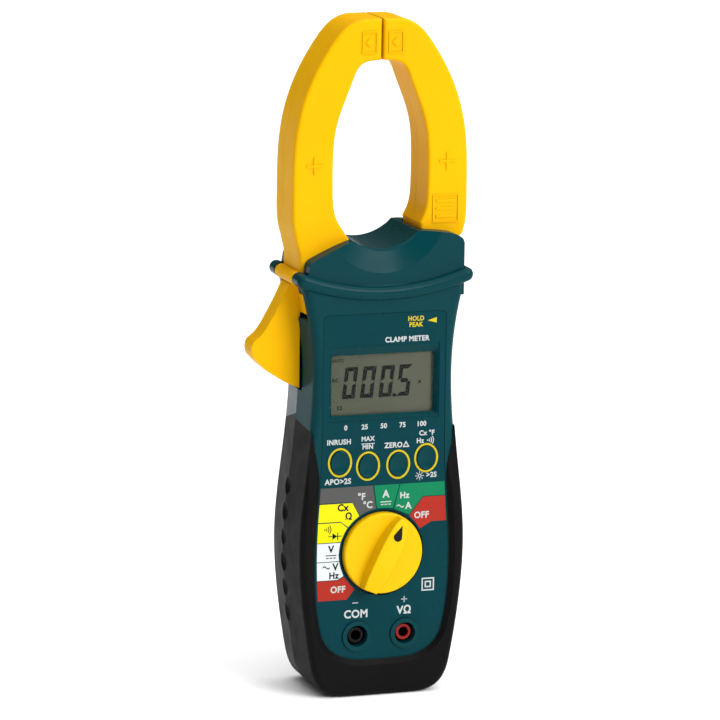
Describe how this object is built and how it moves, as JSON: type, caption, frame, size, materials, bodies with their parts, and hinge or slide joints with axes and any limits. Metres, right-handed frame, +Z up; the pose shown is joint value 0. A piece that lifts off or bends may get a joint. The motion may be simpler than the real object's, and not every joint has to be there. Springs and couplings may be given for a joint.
{
  "type": "clamp meter",
  "caption": "Hand-held clamp multimeter with a sprung opening jaw, side trigger, rotary range knob, keys, display window and two shrouded test-lead jacks.",
  "frame": {"origin": "centre of the flat base that the meter stands on", "axes": "+Z up along the meter from the base to the jaw tips, -Y out of the face panel, +X to the right of a person reading the display"},
  "size_m": [0.0827, 0.0441, 0.256],
  "materials": {
    "case_plastic": "teal ABS with a fine texture",
    "soft_grip": "black thermoplastic elastomer, matt",
    "jaw_plastic": "yellow moulded plastic, fine texture",
    "face_print": "printed polycarbonate label",
    "clear_window": "clear acrylic",
    "display": "grey-green liquid crystal cell",
    "black_plastic": "black moulded plastic",
    "red_plastic": "red moulded plastic",
    "brass": "turned",
    "steel": "plated steel",
    "core_steel": "laminated electrical steel",
    "circuit_board": "green solder mask",
    "sensor_chip": "black epoxy",
    "light_guide": "diffusing acrylic",
    "elastomer": "grey and black silicone",
    "battery_wrap": "printed can",
    "foam": "open-cell foam",
    "lead_wire": "insulated wire"
  },
  "bodies": {
    "housing": {"backlight": "light_guide", "battery": "battery_wrap", "battery_clips": "black_plastic", "battery_leads": "lead_wire", "board_components": "black_plastic", "buzzer": "black_plastic", "case_screws": "steel", "com_jack_contact": "brass", "com_jack_sleeve": "black_plastic", "detent_ring": "black_plastic", "display_window": "clear_window", "face_panel": "face_print", "fixed_core": "core_steel", "fixed_jaw_front": "jaw_plastic", "fixed_jaw_rear": "jaw_plastic", "fixed_jaw_screws": "steel", "front_case": "case_plastic", "front_grip": "soft_grip", "hall_sensors": "sensor_chip", "hold_switch": "black_plastic", "jaw_board": "circuit_board", "jaw_pivot_pin": "steel", "jaw_spring": "steel", "key_domes": "steel", "lcd_cell": "display", "lcd_holder": "black_plastic", "main_board": "circuit_board", "rear_case": "case_plastic", "rear_grip": "soft_grip", "sensor_ribbon": "lead_wire", "thread_inserts": "brass", "volt_jack_contact": "brass", "volt_jack_sleeve": "red_plastic", "zebra_strips": "elastomer"},
    "moving_jaw": {"moving_jaw_front": "jaw_plastic", "moving_jaw_rear": "jaw_plastic", "moving_core": "core_steel", "moving_jaw_screws": "steel", "jaw_pivot_bush": "brass"},
    "knob": {"range_knob": "jaw_plastic", "knob_pointer": "black_plastic", "knob_clip": "steel", "switch_rotor": "black_plastic", "rotor_contacts": "brass", "detent_balls": "steel", "detent_springs": "steel"},
    "inrush_key": {"inrush_key": "case_plastic"},
    "max_min_key": {"max_min_key": "case_plastic"},
    "zero_key": {"zero_key": "case_plastic"},
    "light_key": {"light_key": "case_plastic"},
    "hold_key": {"hold_key": "case_plastic"},
    "battery_door": {"battery_door": "case_plastic", "battery_door_screw": "steel", "battery_foam": "foam"}
  },
  "joints": [
    {"name": "jaw_open", "type": "hinge", "parent": "housing", "child": "moving_jaw", "pos_m": [-0.014, 0, 0.158], "axis": [0, -1, 0], "range_deg": [0, 22], "stiffness_Nm_per_rad": 1.3, "springref_deg": -15.47},
    {"name": "knob_turn", "type": "hinge", "parent": "housing", "child": "knob", "pos_m": [0, -0.017, 0.0551], "axis": [0, 1, 0], "range_deg": [-157.5, 22.5]},
    {"name": "inrush_press", "type": "slide", "parent": "housing", "child": "inrush_key", "axis": [0, 1, 0], "range_m": [0, 0.0009], "stiffness_N_per_m": 400, "springref_m": -0.0005},
    {"name": "max_min_press", "type": "slide", "parent": "housing", "child": "max_min_key", "axis": [0, 1, 0], "range_m": [0, 0.0009], "stiffness_N_per_m": 400, "springref_m": -0.0005},
    {"name": "zero_press", "type": "slide", "parent": "housing", "child": "zero_key", "axis": [0, 1, 0], "range_m": [0, 0.0009], "stiffness_N_per_m": 400, "springref_m": -0.0005},
    {"name": "light_press", "type": "slide", "parent": "housing", "child": "light_key", "axis": [0, 1, 0], "range_m": [0, 0.0009], "stiffness_N_per_m": 400, "springref_m": -0.0005},
    {"name": "hold_press", "type": "slide", "parent": "housing", "child": "hold_key", "axis": [-1, 0, 0], "range_m": [0, 0.0008], "stiffness_N_per_m": 400, "springref_m": -0.0005},
    {"name": "door_lift", "type": "slide", "parent": "housing", "child": "battery_door", "axis": [0, 1, 0], "range_m": [0, 0.025]}
  ]
}
